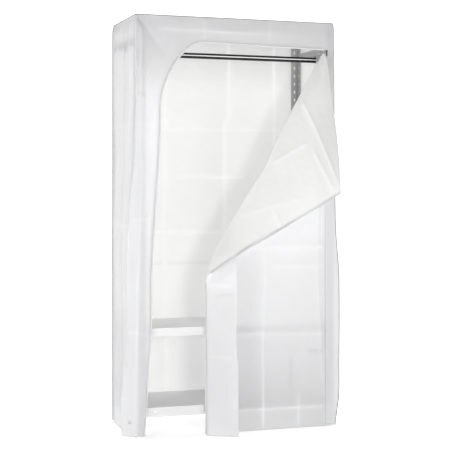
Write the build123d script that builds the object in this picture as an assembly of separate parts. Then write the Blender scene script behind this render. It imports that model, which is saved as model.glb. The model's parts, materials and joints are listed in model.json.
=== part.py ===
from build123d import *
import math
import os

# Fabric-covered wardrobe: a boltless steel shelving frame in a zipped, non-woven cover.
# The cover's door hangs part open, pleated along its foot, with its top corner turned over.
# Millimetres, +Z up, front towards -Y.  u, v and z below are measured from the frame's
# front left foot: u along the width, v into the depth, z up from the floor.

frame_width = 900
frame_depth = 400
frame_height = 1800

# Places the middle of the whole object's footprint, with the door as it hangs, at the origin.
frame_left = -433.5
frame_front = -150

# Uprights: perforated steel angle with keyholes at a fixed pitch on both flanges.
angle_leg = 35
steel = 1.5
pitch = 37.5
first_stud_z = 18.75
keyhole_wide_r = 5
keyhole_narrow_r = 2.6
keyhole_rise = 9
foot_base = 3
foot_wall = 2.5
foot_height = 20
foot_round = 2

# Shelves: folded trays carried on clips, each clip studded at one keyhole pitch.
shelf_sheet = 1
lip_height = 35
lip_return = 12
lip_round = 0.8
shelf_tops = {"bottom_shelf": 130, "middle_shelf": 467.5, "top_shelf": 1780}
running_gap = 0.3
lip_slot_length = 16
lip_slot_height = 7
lip_slot_from_end = 82
clip_leg = 30
clip_height = 50
clip_ledge = 13.5
stud_r = 2.4
stud_head_r = 4.2
stud_head_h = 1.5
head_gap = 0.1
stud_sink = 0.5

# Hanging rail and what carries it.
rail_r = 12.5
rail_wall = 1.2
rail_z = 1650
rail_v = 135
rail_end_gap = 8
bar_z = 1687.5
bar_height = 35
bar_lug = 27
cup_width = 19
cup_gap = 0.25
cup_top_z = 1672
cup_plate_drop = 4
plug_flange = 2
plug_depth = 12
plug_wall = 1.5
plug_round = 1
rivet_r = 2.5
rivet_head = 1.4
rivet_round = 1
rivet_reach = 9

# Cover cloth.
cloth = 2
cloth_gap = 4.5
roof_corner_r = 14
hem_z_left = 12
hem_z_right = 6
hinge_u = 862.5
strip_gap = 2.6
lintel_right_z = 1684
notch_u = 879.5
notch_z = 1671
arch_top = (294, 1696)
arch_side = (99, 1410)
arch_side_pull = 1525
arch_top_pull = 202
edge_foot = (28, hem_z_left)
strip_rise = ((45, 290), (60, 600), (76, 960), (97, 1300))

# Side cloths: how far each stands out past its straight hang, at heights up from the hem.
side_front_v = 45
side_middle_v = 200
left_heights = (hem_z_left, 135, 400, 760, 1100, 1400, frame_height)
left_front_swell = (38.5, 38.5, 31, 31, 11, 0.5, 0.5)
left_middle_swell = (14, 14, 8, 5, 2, 0, 0)
right_heights = (hem_z_right, 135, 400, 700, 1100, frame_height)
right_front_swell = (3, 5.5, 5.5, 4, 2, 0.5)
right_middle_swell = (4, 5.5, 5.5, 3, 1, 0)

# Eyelet, square to the left side cloth where it wraps round the front left foot.
eyelet_place = (-28.2, 20.5, 72)
eyelet_way = (-51, -38.5, 0)
eyelet_lift = 0.35
eyelet_r = 8.5
eyelet_hole_r = 4
eyelet_thick = 1.2

# Zip.
tape_v = -4.4
tape_thick = 1.1
tape_out = 6
tape_in = 9
slider_length = 12
slider_half = 4.4
slider_plate = 1.5
slider_round = 3
slider_front_gap = 2
slider_back_gap = 0.6
slider_park_u = 870
post_inset = 1
post_width = 3.5
post_shift = 0.2
post_low = 3.4
post_high = 0.5
stop_width = 2
stop_reach = 2.4
stop_gap = 0.6
stop_lap = 0.8
stop_clear = 0.05
bail_r = 0.8
bail_v = -9.6
bail_span = 9
bail_arm = 0.56
bail_root = 0.5
pull_length = 24
pull_width = 6
pull_plate = 1.4
pull_neck = 2
pull_shoulder = 5
pull_tip_inset = 1
pull_eye_wall = 1.3
pull_slot_length = 7
pull_slot_width = 2.4
pull_slot_from_tip = 8
pin_gap = 0.05

# Door as it hangs: main panel, pleat, and the turned-over corner.
fold_foot = (301, -27.5, 707)
fold_top = (850, -10, 1654)
pleat_root = (359, -9)
pleat_ridge = (417, -103)
pleat_edge = (299, -27)
pleat_thick = 2
pleat_top = 800
pleat_ridge_r = 1.4
pleat_overlap = 2
door_hem = 8
fold_clear = 8
panel_top_rise = 4
panel_top_width = 1
tape_clear = 0.1
tape_hem_rise = 2

# Slanted outline, from the left, of the room kept clear for the corner over the pleat.
corner_room = ((240, 660), (299, 690), (417, 762), (470, 790), (470, 900), (240, 900))
corner_room_front = -140
corner_room_depth = 160

# Zip edge and right edge of the turned-over corner, from the foot of the fold to its top,
# and the shares of the fold that each of these points folds over from.
corner_edge = [
    fold_foot, (417, -106, 790), (576, -72, 852), (815, -84, 1001), (899, -100, 1052),
    (893, -82, 1235), (880, -64, 1405), (864, -54, 1520), (862, -40, 1646), fold_top,
]
fold_shares = (0, 0.14, 0.3, 0.5, 0.6, 0.7, 0.8, 0.88, 0.97, 1)
zip_edge_count = 5
corner_belly = 6
corner_tape_way = (0.49, -0.87)
corner_tape_setback = 0.4
corner_tape_gap = 0.3
corner_tape_out = 5

inner_face = steel + running_gap
lip_face = inner_face + steel + running_gap


def at(u, v, z):
    """Row-frame point of a place given from the frame's front left foot."""
    return (frame_left + u, frame_front + v, z)


def block(u0, u1, v0, v1, z0, z1):
    """Box between two corners."""
    low = at(u0, v0, z0)
    return Pos(*low) * Box(u1 - u0, v1 - v0, z1 - z0, align=(Align.MIN,) * 3)


def corner_copies(shape):
    """The shape at the front left corner, and mirrored to the other three."""
    middle_x = Plane.YZ.offset(frame_left + frame_width / 2)
    middle_y = Plane.XZ.offset(-(frame_front + frame_depth / 2))
    right = mirror(shape, middle_x)
    return {
        "front_left": shape,
        "front_right": right,
        "back_left": mirror(shape, middle_y),
        "back_right": mirror(right, middle_y),
    }


def side_copies(shape):
    """The shape at the left side, and mirrored to the right side."""
    right = mirror(shape, Plane.YZ.offset(frame_left + frame_width / 2))
    return {"left": shape, "right": right}


def rod(start, end, radius):
    """Round bar between two points."""
    way = Vector(*end) - Vector(*start)
    plane = Plane(origin=start, z_dir=way)
    return extrude(plane * Circle(radius), way.length)


def prism(points, way):
    """Solid swept from a flat outline of 3-D points along a vector."""
    face = Face(Wire.make_polygon([Vector(*p) for p in points]))
    push = Vector(*way)
    return Solid.extrude(face, push)


def cloth_sheet(rows, way):
    """Closed sheet over a grid of points, given thickness along one vector."""
    push = Vector(*way)
    front = [[Vector(*p) for p in row] for row in rows]
    back = [[p + push for p in row] for row in front]
    last_row = len(rows) - 1
    last_col = len(rows[0]) - 1
    faces = []

    def triangle(a, b, c):
        if (b - a).cross(c - a).length > 1e-6:
            faces.append(Face(Wire.make_polygon([a, b, c])))

    def quad(a, b, c, d):
        triangle(a, b, c)
        triangle(a, c, d)

    for i in range(last_row):
        for j in range(last_col):
            for side in (front, back):
                quad(side[i][j], side[i][j + 1], side[i + 1][j + 1], side[i + 1][j])
    for i in range(last_row):
        for j in (0, last_col):
            quad(front[i][j], front[i + 1][j], back[i + 1][j], back[i][j])
    for j in range(last_col):
        for i in (0, last_row):
            quad(front[i][j], front[i][j + 1], back[i][j + 1], back[i][j])
    return Solid(Shell(faces))


# ---- frame ----

def keyhole_outline():
    """Teardrop slot, wide at the top: the hull of a large circle over a small one."""
    wide = Pos(0, keyhole_rise) * Circle(keyhole_wide_r)
    return make_hull((wide.edges() + Circle(keyhole_narrow_r).edges()))


def flange(plane):
    """One flange of an upright, seen from outside: its holes down its middle line."""
    height = frame_height - foot_base
    plate = Pos(angle_leg / 2, foot_base + height / 2) * Rectangle(angle_leg, height)
    hole = keyhole_outline()
    count = int((frame_height - first_stud_z) / pitch) + 1
    holes = [Pos(angle_leg / 2, first_stud_z + n * pitch) * hole for n in range(1, count)]
    return extrude(plane * (plate - holes), -steel)


def upright():
    """Perforated angle: the front and side flanges, joined at the front left corner."""
    corner = at(0, 0, 0)
    front = flange(Plane(origin=corner, x_dir=(1, 0, 0), z_dir=(0, -1, 0)))
    side = flange(Plane(origin=corner, x_dir=(0, 1, 0), z_dir=(1, 0, 0)))
    side = Pos(steel, 0, 0) * side
    return front + side


def angle_profile(low, leg, wall):
    """Angle outline with its outer corner at (low, low)."""
    high = low + leg
    points = [(low, low), (high, low), (high, low + wall), (low + wall, low + wall)]
    points += [(low + wall, high), (low, high)]
    return [at(u, v, 0) for u, v in points]


def foot():
    """Plastic boot that the upright's foot presses into."""
    leg = angle_leg + 2 * foot_wall
    boot = prism(angle_profile(-foot_wall, leg, steel + 2 * foot_wall), (0, 0, foot_height))
    pad = block(-foot_wall, leg - foot_wall, -foot_wall, leg - foot_wall, 0, foot_base)
    socket = prism(angle_profile(0, angle_leg, steel), (0, 0, foot_height))
    boot = boot + pad - Pos(0, 0, foot_base) * socket
    corner = boot.edges().filter_by(Axis.Z).sort_by(lambda e: e.center().X + e.center().Y)
    return fillet(corner[0], foot_round)


def shelf(top):
    """Folded tray, open below, with returned edges front and back and a slot by each end."""
    u0, u1 = lip_face, frame_width - lip_face
    v0, v1 = lip_face, frame_depth - lip_face
    base = top - lip_height
    tray = block(u0, u1, v0, v1, base, top)
    tray = fillet(tray.edges().group_by(Axis.Z)[-1], lip_round)
    s = shelf_sheet
    tray -= block(u0 + s, u1 - s, v0 + s, v1 - s, base - 1, top - s)
    for low, high in ((v0 + s, v0 + lip_return), (v1 - lip_return, v1 - s)):
        tray += block(u0 + s, u1 - s, low, high, base, base + s)
    slot_plane = Plane(origin=at(0, v0 - 1, base + lip_height / 2), x_dir=(1, 0, 0), z_dir=(0, 1, 0))
    slots = [
        Pos(u, 0) * SlotOverall(lip_slot_length, lip_slot_height)
        for u in (lip_slot_from_end, frame_width - lip_slot_from_end)
    ]
    for slot in slots:
        tray -= extrude(slot_plane * slot, frame_depth)
    return tray


def stud(place, way):
    """Headed stud from a plate's outer face out through a keyhole."""
    start = Vector(*place)
    way = Vector(*way)
    reach = inner_face + head_gap
    head_start = start + way * reach
    head_end = head_start + way * stud_head_h
    stem = rod(start - way * stud_sink, head_start, stud_r)
    return stem + rod(head_start, head_end, stud_head_r)


def clip(top):
    """Corner clip: two walls with two studs each, and a ledge under the shelf's lip."""
    middle = top - lip_height / 2
    base = top - lip_height
    walls = prism(angle_profile(inner_face, clip_leg, steel), (0, 0, clip_height))
    ledge = prism(angle_profile(inner_face, clip_leg, clip_ledge), (0, 0, steel))
    body = Pos(0, 0, middle - clip_height / 2) * walls
    body += Pos(0, 0, base - steel) * ledge
    for z in (middle - pitch / 2, middle + pitch / 2):
        body += stud(at(angle_leg / 2, inner_face, z), (0, -1, 0))
        body += stud(at(inner_face, angle_leg / 2, z), (-1, 0, 0))
    return body


# ---- hanging rail ----

def rail_bar():
    """Front-to-back bar with a taller lug at each end."""
    u0, u1 = inner_face, inner_face + steel
    v0, v1 = inner_face, frame_depth - inner_face
    half = bar_height / 2
    bar = block(u0, u1, v0, v1, bar_z - half, bar_z + half)
    lug_half = clip_height / 2
    bar += block(u0, u1, v0, v0 + bar_lug, bar_z - lug_half, bar_z + lug_half)
    bar += block(u0, u1, v1 - bar_lug, v1, bar_z - lug_half, bar_z + lug_half)
    return bar


def rail_bar_studs():
    """Two headed studs at each end of a rail bar, out through the keyholes."""
    studs = []
    for v in (angle_leg / 2, frame_depth - angle_leg / 2):
        for z in (bar_z - pitch / 2, bar_z + pitch / 2):
            start = Vector(*at(inner_face, v, z))
            head = start + Vector(-inner_face - head_gap, 0, 0)
            tip = head + Vector(-stud_head_h, 0, 0)
            studs.append(rod(start, head, stud_r) + rod(head, tip, stud_head_r))
    return studs


def rail_cup():
    """Open-topped cradle on a back plate."""
    u0 = inner_face + steel
    u1 = u0 + steel
    bore = rail_r + cup_gap
    outer = bore + steel
    low = rail_z - outer
    high = bar_z + bar_height / 2 - cup_plate_drop
    plate = block(u0, u1, rail_v - outer, rail_v + outer, low, high)
    face = Plane(origin=at(u1, rail_v, rail_z), x_dir=(0, 1, 0), z_dir=(1, 0, 0))
    rise = cup_top_z - rail_z
    wall = Circle(outer) + Pos(0, rise / 2) * Rectangle(2 * outer, rise)
    room = Circle(bore) + Pos(0, rise) * Rectangle(2 * bore, 2 * rise)
    return plate + extrude(face * (wall - room), cup_width)


def rail_cup_rivets():
    """Two dome-headed rivets that hold a cup's plate to its bar."""
    rivets = []
    u0 = inner_face + 2 * steel
    for v in (rail_v - rivet_reach, rail_v + rivet_reach):
        place = at(u0, v, bar_z)
        head = extrude(Plane(origin=place, z_dir=(1, 0, 0)) * Circle(rivet_r), rivet_head)
        rivets.append(fillet(head.edges().group_by(Axis.X)[-1], rivet_round))
    return rivets


def hanging_rail():
    """Round tube that stops short of both side uprights."""
    start = at(rail_end_gap + plug_flange, rail_v, rail_z)
    end = at(frame_width - rail_end_gap - plug_flange, rail_v, rail_z)
    return rod(start, end, rail_r) - rod(start, end, rail_r - rail_wall)


def rail_plug():
    """End plug: a flange the size of the tube and a spigot inside it."""
    face = at(rail_end_gap, rail_v, rail_z)
    seat = at(rail_end_gap + plug_flange, rail_v, rail_z)
    tip = at(rail_end_gap + plug_flange + plug_depth, rail_v, rail_z)
    flange_disc = rod(face, seat, rail_r)
    flange_disc = fillet(flange_disc.edges().sort_by(Axis.X)[0], plug_round)
    spigot = rod(seat, tip, rail_r - rail_wall)
    return flange_disc + spigot - rod(seat, tip, rail_r - rail_wall - plug_wall)


# ---- cover ----

def opening_edge():
    """Zip side of the opening: up the left strip, round the arch, along the lintel."""
    foot_point = at(edge_foot[0], 0, edge_foot[1])
    side = at(arch_side[0], 0, arch_side[1])
    rise = [at(u, 0, z) for u, z in strip_rise]
    strip = Spline(foot_point, *rise, side)
    pulls = [at(arch_side[0], 0, arch_side_pull), at(arch_top_pull, 0, arch_top[1])]
    arch = Bezier(side, pulls[0], pulls[1], at(arch_top[0], 0, arch_top[1]))
    lintel = Line(at(arch_top[0], 0, arch_top[1]), at(notch_u, 0, lintel_right_z))
    return [strip, arch, lintel]


def flat_cloth(edges, v, thick):
    """Cloth cut to a closed chain of edges in the plane v = 0, moved to v."""
    face = Face(Wire(edges))
    solid = Solid.extrude(face, Vector(0, thick, 0))
    return Pos(0, v, 0) * solid


def cover_front():
    """Front cloth: left strip, lintel and right strip, notched where the slider parks."""
    out = cloth_gap + cloth
    roof = frame_height
    edge = opening_edge()
    right = frame_width + out
    corners = [
        (notch_u, lintel_right_z), (notch_u, notch_z), (hinge_u, notch_z),
        (hinge_u, hem_z_right), (right, hem_z_right),
        (right, roof), (-out, roof), (-out, hem_z_left), edge_foot,
    ]
    points = [at(u, 0, z) for u, z in corners]
    border = [Line(a, b) for a, b in zip(points, points[1:])]
    edges = [e for curve in edge + border for e in curve.edges()]
    return flat_cloth(edges, -out, cloth)


def cover_roof():
    """Flat top with rounded corners."""
    out = cloth_gap + cloth
    plate = block(-out, frame_width + out, -out, frame_depth + out, frame_height, frame_height + cloth)
    return fillet(plate.edges().filter_by(Axis.Z), roof_corner_r)


def cover_back():
    """Plain sheet from the roof to the hem."""
    out = cloth_gap
    return block(-out, frame_width + out, frame_depth + out, frame_depth + out + cloth,
                 hem_z_left, frame_height)


def cover_side(heights, front_swell, middle_swell, sign, base_u):
    """Side cloth that hangs straight above and swells out towards its foot."""
    out = cloth_gap + cloth
    rows = []
    for z, a, b in zip(heights, front_swell, middle_swell):
        stations = [(0, -cloth_gap), (a, side_front_v), (b, side_middle_v), (0, frame_depth + out)]
        rows.append([at(base_u + sign * (out + s), v, z) for s, v in stations])
    return cloth_sheet(rows, (-sign * cloth, 0, 0))


def cover_left_side():
    return cover_side(left_heights, left_front_swell, left_middle_swell, -1, 0)


def cover_right_side():
    return cover_side(right_heights, right_front_swell, right_middle_swell, 1, frame_width)


def ribbon(points, v, thick, out, back):
    """Flat tape in the plane of the front, along a line of (u, z) points."""
    ways = []
    last = len(points) - 1
    for i in range(len(points)):
        a = points[max(i - 1, 0)]
        b = points[min(i + 1, last)]
        length = math.dist(a, b)
        ways.append(((b[1] - a[1]) / length, -(b[0] - a[0]) / length))
    rows = [
        [at(p[0] + n[0] * s, v, p[1] + n[1] * s) for p, n in zip(points, ways)]
        for s in (out, -back)
    ]
    return cloth_sheet(rows, (0, thick, 0))


def frame_zip_tape():
    """Zip tape sewn behind the edge of the opening, its teeth just inside it."""
    samples = []
    for curve, count in zip(opening_edge(), (8, 10, 3)):
        steps = [k / count for k in range(count)]
        samples += [curve @ t for t in steps]
    samples.append(opening_edge()[-1] @ 1)
    points = [(p.X - frame_left, p.Z) for p in samples]
    return ribbon(points, tape_v, tape_thick, tape_out, tape_in)


def zip_line(u, below):
    """Height of a line parallel to the lintel's edge, a distance below it."""
    slope = (lintel_right_z - arch_top[1]) / (notch_u - arch_top[0])
    return lintel_right_z + slope * (u - notch_u) - below


def zip_stops():
    """Crimped stops on the teeth, past the two ends of the run."""
    v0, v1 = tape_v - stop_lap, tape_v + tape_thick + stop_lap
    u0 = slider_park_u + slider_length / 2 + stop_gap
    u1 = u0 + stop_width
    z1 = zip_line(u1, tape_out) - stop_clear
    top = block(u0, u1, v0, v1, z1 - stop_reach, z1)
    u0 = edge_foot[0] + tape_out + stop_gap
    z0 = edge_foot[1] + stop_width
    low = block(u0, u0 + stop_reach, v0, v1, z0, z0 + 2 * stop_width)
    return [top, low]


def zip_slider():
    """Two plates joined by a nose post, with a wire bail on the front plate."""
    u0 = slider_park_u - slider_length / 2
    u1 = slider_park_u + slider_length / 2
    z = zip_line(slider_park_u, tape_out)
    front_v = tape_v - slider_front_gap
    back_v = tape_v + tape_thick + slider_back_gap
    post_u = u0 + post_inset
    body = block(post_u, post_u + post_width, front_v + post_shift, back_v + post_shift,
                 z - post_low, z - post_high)
    for v in (front_v, back_v):
        plate = block(u0, u1, v, v + slider_plate, z - slider_half, z + slider_half)
        body = body + fillet(plate.edges().filter_by(Axis.Y), slider_round)
    left = slider_park_u - bail_span / 2
    right = slider_park_u + bail_span / 2
    arm = bail_arm
    for u in (left, right):
        body += block(u - arm, u + arm, bail_v, front_v + bail_root, z - arm, z + arm)
    return body + rod(at(left - bail_r, bail_v, z), at(right + bail_r, bail_v, z), bail_r)


def zip_pull():
    """Pull tab: an eye round the bail and a tapered tab hanging below it."""
    z = zip_line(slider_park_u, tape_out)
    half = pull_width / 2
    eye_r = bail_r + pin_gap + pull_eye_wall
    start = at(slider_park_u - half, bail_v, z)
    end = at(slider_park_u + half, bail_v, z)
    face = Plane(origin=at(slider_park_u, bail_v - pull_plate / 2, z), x_dir=(1, 0, 0), z_dir=(0, 1, 0))
    shoulder = pull_length - pull_shoulder
    tip = half - pull_tip_inset
    tab = Polygon((-pull_neck, 0), (pull_neck, 0), (half, shoulder), (tip, pull_length),
                  (-tip, pull_length), (-half, shoulder), align=None)
    window = SlotOverall(pull_slot_length, pull_slot_width, rotation=90)
    window = Pos(0, pull_length - pull_slot_from_tip) * window
    plate = extrude(face * (tab - window), pull_plate)
    return rod(start, end, eye_r) + plate - rod(start, end, bail_r + pin_gap)


def hem_eyelet():
    """Metal eyelet in the left side cloth where it wraps round the front left foot."""
    way = Vector(*eyelet_way).normalized()
    place = Vector(*at(*eyelet_place)) + way * eyelet_lift
    plane = Plane(origin=place, z_dir=way)
    return extrude(plane * (Circle(eyelet_r) - Circle(eyelet_hole_r)), eyelet_thick)


# ---- door ----

def door_panel():
    """Main part of the door, in the plane of the front, below the fold."""
    out = cloth_gap + cloth
    right = hinge_u - strip_gap
    foot_u = pleat_root[0] + pleat_overlap
    rise = (fold_top[2] - fold_foot[2]) / (fold_top[0] - fold_foot[0])
    side_z = fold_foot[2] + (foot_u - fold_foot[0] - fold_clear) * rise
    top_z = fold_top[2] + panel_top_rise
    corners = [(right, door_hem), (foot_u, door_hem), (foot_u, side_z),
               (right - panel_top_width, top_z), (right, top_z)]
    return prism([at(u, -out, z) for u, z in corners], (0, cloth, 0))


def plan_plate(a, b, thick, z0, z1):
    """Upright plate along a line in plan."""
    length = math.dist(a, b)
    nu = (b[1] - a[1]) / length * thick / 2
    nv = -(b[0] - a[0]) / length * thick / 2
    ring = [(a[0] + nu, a[1] + nv), (b[0] + nu, b[1] + nv), (b[0] - nu, b[1] - nv), (a[0] - nu, a[1] - nv)]
    return prism([at(u, v, z0) for u, v in ring], (0, 0, z1 - z0))


def under_corner_edge():
    """Everything above the slanted line that clears the turned-over corner."""
    return prism([at(u, corner_room_front, z) for u, z in corner_room], (0, corner_room_depth, 0))


def door_pleat():
    """Folded stretch of the door below the corner, standing out from the panel."""
    ridge = rod(at(*pleat_ridge, door_hem), at(*pleat_ridge, pleat_top), pleat_ridge_r)
    body = plan_plate(pleat_root, pleat_ridge, pleat_thick, door_hem, pleat_top)
    body += plan_plate(pleat_ridge, pleat_edge, pleat_thick, door_hem, pleat_top)
    return body + ridge - under_corner_edge()


def pleat_zip_tape():
    """Zip tape behind the pleat's free edge."""
    length = math.dist(pleat_ridge, pleat_edge)
    du = (pleat_edge[0] - pleat_ridge[0]) / length
    dv = (pleat_edge[1] - pleat_ridge[1]) / length
    shift = pleat_thick / 2 + tape_clear + tape_thick / 2
    middle = (pleat_edge[0] + dv * shift, pleat_edge[1] - du * shift)
    start = (middle[0] - du * tape_in, middle[1] - dv * tape_in)
    end = (middle[0] + du * tape_out, middle[1] + dv * tape_out)
    tape = plan_plate(start, end, tape_thick, door_hem + tape_hem_rise, pleat_top)
    return tape - under_corner_edge()


def along_fold(t):
    """Point on the fold, from its foot to its top."""
    return tuple(a + (b - a) * t for a, b in zip(fold_foot, fold_top))


def door_corner():
    """Turned-over corner: a curved sheet from the fold out to its free edges."""
    roots = [along_fold(t) for t in fold_shares]
    middles = []
    for root, rim in zip(roots, corner_edge):
        u, v, z = [(a + b) / 2 for a, b in zip(root, rim)]
        belly = corner_belly if root != rim else 0
        middles.append((u, v - belly, z))
    rows = [[at(*p) for p in line] for line in (roots, middles, corner_edge)]
    return cloth_sheet(rows, (0, cloth, 0))


def corner_zip_tape():
    """Zip tape along the corner's lower edge, a hair clear of it."""
    edge = corner_edge[1:zip_edge_count]
    way_u, way_z = corner_tape_way
    rows = []
    for s in (corner_tape_out, corner_tape_gap):
        rows.append([at(u + way_u * s, v + corner_tape_setback, z + way_z * s) for u, v, z in edge])
    return cloth_sheet(rows, (0, tape_thick, 0))


# ---- write every node ----

def nodes():
    out = {}
    for place, solid in corner_copies(upright()).items():
        out["upright_" + place] = solid
    for place, solid in corner_copies(foot()).items():
        out["foot_" + place] = solid
    for name, top in shelf_tops.items():
        out[name] = shelf(top)
        out[name + "_clips"] = list(corner_copies(clip(top)).values())
    for side, solid in side_copies(rail_bar()).items():
        out["rail_bar_" + side] = solid
    for side, solid in side_copies(rail_cup()).items():
        out["rail_cup_" + side] = solid
    for side, solid in side_copies(rail_plug()).items():
        out["rail_plug_" + side] = solid
    both = [side_copies(one) for one in rail_bar_studs()]
    out["rail_bar_studs"] = [pair[side] for pair in both for side in pair]
    both = [side_copies(one) for one in rail_cup_rivets()]
    out["rail_cup_rivets"] = [pair[side] for pair in both for side in pair]
    out["hanging_rail"] = hanging_rail()
    for build in (cover_roof, cover_back, cover_left_side, cover_right_side, cover_front,
                  frame_zip_tape, zip_stops, hem_eyelet, zip_slider, zip_pull,
                  door_panel, door_pleat, pleat_zip_tape, door_corner, corner_zip_tape):
        out[build.__name__] = build()
    return out


def solids_of(shape):
    """All the separate solids of a node."""
    parts = shape if isinstance(shape, list) else [shape]
    return [solid for part in parts for solid in part.solids()]


os.makedirs("parts", exist_ok=True)
for name, shape in nodes().items():
    solids = solids_of(shape)
    whole = solids[0] if len(solids) == 1 else Compound(children=solids)
    export_step(whole, f"parts/{name}.step")
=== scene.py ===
import json
import math

import bpy
import numpy as np
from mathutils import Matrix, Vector


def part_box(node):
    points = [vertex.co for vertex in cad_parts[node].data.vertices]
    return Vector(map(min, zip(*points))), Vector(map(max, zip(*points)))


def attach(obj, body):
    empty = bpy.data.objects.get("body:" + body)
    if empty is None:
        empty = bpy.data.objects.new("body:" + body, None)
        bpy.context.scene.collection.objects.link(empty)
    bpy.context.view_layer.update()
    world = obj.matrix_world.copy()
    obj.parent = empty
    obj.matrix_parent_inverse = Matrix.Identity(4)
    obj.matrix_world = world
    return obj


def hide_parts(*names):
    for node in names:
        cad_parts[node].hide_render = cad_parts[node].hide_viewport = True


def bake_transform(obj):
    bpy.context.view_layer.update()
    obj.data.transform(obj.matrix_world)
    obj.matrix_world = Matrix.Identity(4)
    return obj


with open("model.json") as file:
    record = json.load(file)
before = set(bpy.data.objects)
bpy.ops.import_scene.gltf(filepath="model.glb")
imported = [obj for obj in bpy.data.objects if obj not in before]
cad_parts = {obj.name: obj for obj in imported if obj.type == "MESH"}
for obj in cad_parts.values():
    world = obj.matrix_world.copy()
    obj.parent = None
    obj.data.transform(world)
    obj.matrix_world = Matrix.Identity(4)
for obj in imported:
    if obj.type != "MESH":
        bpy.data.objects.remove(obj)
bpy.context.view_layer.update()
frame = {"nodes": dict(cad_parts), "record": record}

# u runs along the width, v into the depth and z up, from the foot of the front left upright
near = np.array(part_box("upright_front_left")[0])
far = np.array(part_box("upright_back_right")[1])
origin = np.array([near[0], near[1], 0])
width, depth, height = far[0] - near[0], far[1] - near[1], far[2]
slots = {part["node"]: part["material_slot"] for part in frame["record"]["subparts"]}


def at(u, v, z):
    # places given from the frame's front left foot, as one array of points
    return np.stack(np.broadcast_arrays(near[0] + u, near[1] + v, z), axis=-1)


def smooth(x):
    x = np.clip(x, 0, 1)
    return x * x * (3 - 2 * x)


def hump(x, middle, spread):
    return np.exp(-(((x - middle) / spread) ** 2))


def unit(vectors):
    return vectors / np.linalg.norm(vectors, axis=-1, keepdims=True)


def through(knots, values, x):
    # smooth line through the values: a cubic between each two knots, slopes from their neighbours
    knots = np.array(knots, float)
    values = np.array(values, float)
    x = np.clip(np.asarray(x, float), knots[0], knots[-1])
    slopes = np.gradient(values, knots, axis=0)
    i = np.clip(np.searchsorted(knots, x, side="right") - 1, 0, len(knots) - 2)
    gap = knots[i + 1] - knots[i]
    t = (x - knots[i]) / gap
    if values.ndim > 1:
        gap = gap[..., None]
        t = t[..., None]
    start = (2 * t**3 - 3 * t**2 + 1) * values[i] + (t**3 - 2 * t**2 + t) * gap * slopes[i]
    end = (3 * t**2 - 2 * t**3) * values[i + 1] + (t**3 - t**2) * gap * slopes[i + 1]
    return start + end


foldLook = {
    "ends": 0.05,      # run-out at both ends of a fold
    "full": 0.004,     # a crest this high is drawn at full strength
    "line": 0.0045,    # half width of the drawn line
}


def creases(x, z, marks):
    # each mark is a fold from (x1, z1) to (x2, z2): a sharp crest that falls away over its reach
    lift = np.zeros(np.broadcast(x, z).shape)
    for x1, z1, x2, z2, crest, reach in marks:
        length = math.hypot(x2 - x1, z2 - z1)
        along = ((x - x1) * (x2 - x1) + (z - z1) * (z2 - z1)) / length
        off = ((x - x1) * (z2 - z1) - (z - z1) * (x2 - x1)) / length
        fade = smooth(along / foldLook["ends"] + 0.5) * smooth((length - along) / foldLook["ends"] + 0.5)
        lift = lift + crest * fade * np.exp(-np.abs(off) / reach)
    return lift


def foldHighlightsAndShade(x, z, marks):
    # the same folds drawn as narrow lines: a painted highlight along a crest and painted shade along a hollow
    lines = []
    for *place, crest, _ in marks:
        strength = math.copysign(min(abs(crest) / foldLook["full"], 1), crest)
        lines.append((*place, strength, foldLook["line"]))
    return creases(x, z, lines)


def ripple(x, z, wave, crest, seed):
    # soft unevenness: six waves of about one length, in directions drawn from the seed
    rng = np.random.default_rng(seed)
    waves, together = 6, 2.4
    lift = 0
    for turn, stretch, phase in rng.uniform((0, 0.6, 0), (math.pi, 1.7, 2 * math.pi), (waves, 3)):
        along = x * math.cos(turn) + z * math.sin(turn)
        lift = lift + np.sin(2 * math.pi * along / (wave * stretch) + phase)
    return crest * lift / together


def gridNormals(points, out):
    # the cross product of the two ways across the grid, as unit vectors
    normals = np.cross(np.gradient(points, axis=0), np.gradient(points, axis=1)) * out
    return normals / (np.linalg.norm(normals, axis=-1, keepdims=True) + 1e-12)


def raised(points, lift, out):
    # a grid set in its place, each point moved along its normal by the lift
    world = points + origin
    return world + gridNormals(world, out) * lift[..., None]


def stepLengths(points, axis):
    # distance run along the grid from its first row or column
    steps = np.linalg.norm(np.diff(points, axis=axis), axis=-1)
    return np.concatenate([np.zeros_like(np.take(steps, [0], axis)), np.cumsum(steps, axis)], axis)


def meshPiece(name, points, faces, materials, uv=None, marks=None, caps=()):
    mesh = bpy.data.meshes.new(name)
    mesh.from_pydata(points.reshape(-1, 3).tolist(), [], faces.tolist() + [cap.tolist() for cap in caps])
    mesh.update()
    if uv is not None:
        corners = np.empty(len(mesh.loops), np.int32)
        mesh.loops.foreach_get("vertex_index", corners)
        layer = mesh.uv_layers.new(name="cloth")
        layer.data.foreach_set("uv", uv.reshape(-1, 2)[corners].astype(np.float32).ravel())
    for key, values in (marks or {}).items():
        attribute = mesh.attributes.new(key, "FLOAT", "POINT")
        attribute.data.foreach_set("value", np.asarray(values, np.float32).ravel())
    mesh.polygons.foreach_set("use_smooth", np.ones(len(mesh.polygons), bool))
    piece = bpy.data.objects.new(name, mesh)
    bpy.context.scene.collection.objects.link(piece)
    for material in materials:
        mesh.materials.append(material)
    return piece


def gridFaces(rows, cols, out=1, closed=False):
    index = np.arange(rows * cols).reshape(rows, cols)
    if closed:
        index = np.concatenate([index, index[:, :1]], axis=1)
    a, b, c, d = index[:-1, :-1], index[1:, :-1], index[1:, 1:], index[:-1, 1:]
    order = (a, b, c, d) if out > 0 else (a, d, c, b)
    return np.stack([part.ravel() for part in order], axis=1)


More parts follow.
